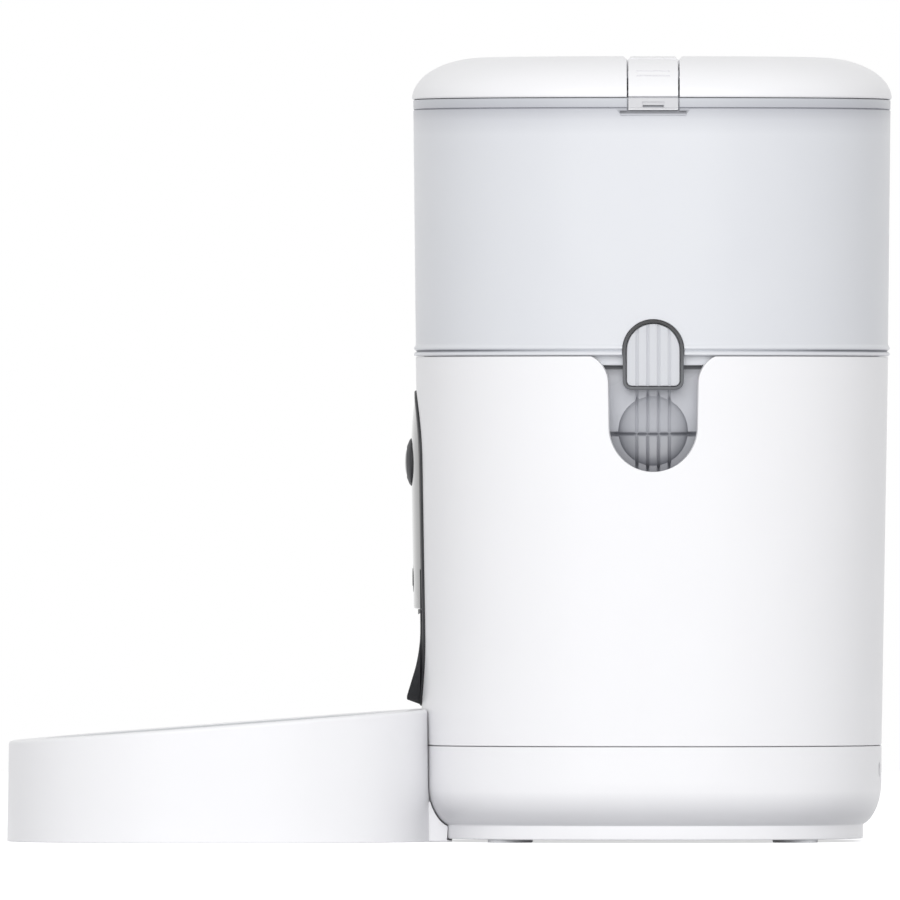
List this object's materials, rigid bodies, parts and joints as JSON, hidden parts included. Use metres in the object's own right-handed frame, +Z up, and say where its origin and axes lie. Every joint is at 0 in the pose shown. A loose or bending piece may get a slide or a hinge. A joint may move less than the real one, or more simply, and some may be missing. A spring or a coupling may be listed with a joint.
{
  "type": "smart pet feeder",
  "caption": "Automatic dry-food feeder: rounded-square housing with a lift-off hopper and latched lid, metering rotor, front chute, camera panel and pull-out tray with a steel bowl.",
  "frame": {"origin": "on the floor, under the middle of the whole feeder's box", "axes": "+Z up, the tray and chute at the front face -Y, the lid's latches are on +X and -X"},
  "size_m": [0.19, 0.3504, 0.31],
  "materials": {
    "white_abs": "satin white moulded plastic",
    "milky_plastic": "milky translucent moulded plastic",
    "smoke_plastic": "tinted grey moulded plastic",
    "black_abs": "matt black moulded plastic",
    "gloss_black": "polished black face",
    "grey_rubber": "grey rubber",
    "grey_silicone": "grey silicone",
    "stainless_steel": "brushed stainless steel",
    "brass": "turned brass",
    "circuit_board": "green circuit board",
    "gear_plastic": "cream gear plastic",
    "cell_wrap": "wrapped round cell",
    "sachet_paper": "white breathable paper"
  },
  "bodies": {
    "cabinet": {"base_tub": "white_abs", "housing_shell": "white_abs", "status_light": "milky_plastic", "finger_pocket_right": "smoke_plastic", "finger_pocket_left": "smoke_plastic", "front_bezel": "black_abs", "camera_ring": "black_abs", "camera_barrel": "black_abs", "drive_deck": "black_abs", "gearbox_case": "black_abs", "gearbox_cover": "black_abs", "outlet_chute": "black_abs", "speaker": "black_abs", "face_plate": "gloss_black", "camera_window": "gloss_black", "foot_back_right": "grey_rubber", "foot_back_left": "grey_rubber", "foot_front_left": "grey_rubber", "foot_front_right": "grey_rubber", "screw_back_right": "stainless_steel", "screw_back_left": "stainless_steel", "screw_front_left": "stainless_steel", "screw_front_right": "stainless_steel", "battery_contacts_front": "stainless_steel", "battery_contacts_back": "stainless_steel", "power_inlet": "stainless_steel", "motor": "stainless_steel", "spindle_bush": "brass", "camera_board": "circuit_board", "main_board": "circuit_board", "battery_1": "cell_wrap", "battery_2": "cell_wrap", "battery_3": "cell_wrap"},
    "hopper": {"hopper": "milky_plastic", "funnel": "milky_plastic", "release_frame_right": "black_abs", "release_frame_left": "black_abs", "rotor_housing": "milky_plastic"},
    "rotor": {"rotor": "grey_silicone", "stirrer": "white_abs"},
    "lid": {"lid_cover": "white_abs", "lid_inner_plate": "white_abs", "lid_seal": "grey_silicone", "desiccant_box": "white_abs", "desiccant_sachet": "sachet_paper", "latch_pin_right": "stainless_steel", "latch_pin_left": "stainless_steel"},
    "latch_right": {"lid_latch_right": "white_abs"},
    "latch_left": {"lid_latch_left": "white_abs"},
    "desiccant_cap": {"desiccant_cap": "white_abs"},
    "release_right": {"release_button_right": "milky_plastic"},
    "release_left": {"release_button_left": "milky_plastic"},
    "spindle": {"drive_spindle": "gear_plastic"},
    "middle_gear": {"middle_gear": "gear_plastic"},
    "pinion": {"motor_pinion": "brass"},
    "feed_button": {"feed_button": "gloss_black"},
    "reset_button": {"reset_button": "black_abs"},
    "battery_door": {"battery_door": "white_abs"},
    "tray": {"food_tray": "white_abs"},
    "bowl": {"bowl": "stainless_steel"}
  },
  "joints": [
    {"name": "hopper_lift", "type": "slide", "parent": "cabinet", "child": "hopper", "axis": [0, 0, 1], "range_m": [0, 0.12]},
    {"name": "lid_lift", "type": "slide", "parent": "hopper", "child": "lid", "axis": [0, 0, 1], "range_m": [0, 0.06]},
    {"name": "latch_right_turn", "type": "hinge", "parent": "lid", "child": "latch_right", "pos_m": [0.0865, 0.08015, 0.3015], "axis": [0, -1, 0], "range_deg": [0, 40]},
    {"name": "latch_left_turn", "type": "hinge", "parent": "lid", "child": "latch_left", "pos_m": [-0.0865, 0.08015, 0.3015], "axis": [0, 1, 0], "range_deg": [0, 40]},
    {"name": "cap_turn", "type": "hinge", "parent": "lid", "child": "desiccant_cap", "pos_m": [0, 0.08015, 0.275], "axis": [0, 0, 1], "range_deg": [0, 45]},
    {"name": "release_right_press", "type": "slide", "parent": "hopper", "child": "release_right", "axis": [-1, 0, 0], "range_m": [0, 0.0024], "stiffness_N_per_m": 600},
    {"name": "release_left_press", "type": "slide", "parent": "hopper", "child": "release_left", "axis": [1, 0, 0], "range_m": [0, 0.0024], "stiffness_N_per_m": 600},
    {"name": "rotor_spin", "type": "hinge", "parent": "hopper", "child": "rotor", "pos_m": [0, 0.08015, 0.13], "axis": [0, 0, 1], "continuous": true},
    {"name": "spindle_spin", "type": "hinge", "parent": "cabinet", "child": "spindle", "pos_m": [0, 0.08015, 0.1], "axis": [0, 0, 1], "continuous": true},
    {"name": "middle_gear_spin", "type": "hinge", "parent": "cabinet", "child": "middle_gear", "pos_m": [0, 0.10015, 0.085], "axis": [0, 0, 1], "continuous": true},
    {"name": "pinion_spin", "type": "hinge", "parent": "cabinet", "child": "pinion", "pos_m": [0, 0.12015, 0.08], "axis": [0, 0, 1], "continuous": true},
    {"name": "feed_press", "type": "slide", "parent": "cabinet", "child": "feed_button", "axis": [0, 1, 0], "range_m": [0, 0.001], "stiffness_N_per_m": 800},
    {"name": "reset_press", "type": "slide", "parent": "cabinet", "child": "reset_button", "axis": [0, -1, 0], "range_m": [0, 0.001], "stiffness_N_per_m": 500},
    {"name": "battery_door_slide", "type": "slide", "parent": "cabinet", "child": "battery_door", "axis": [0, 1, 0], "range_m": [0, 0.009]},
    {"name": "tray_pull", "type": "slide", "parent": "cabinet", "child": "tray", "axis": [0, -1, 0], "range_m": [0, 0.12]},
    {"name": "bowl_lift", "type": "slide", "parent": "tray", "child": "bowl", "axis": [0, 0, 1], "range_m": [0, 0.05]}
  ],
  "couplings": [
    {"joint": "spindle_spin", "follows": "rotor_spin", "ratio": 1},
    {"joint": "middle_gear_spin", "follows": "rotor_spin", "ratio": -3},
    {"joint": "pinion_spin", "follows": "rotor_spin", "ratio": 9}
  ]
}
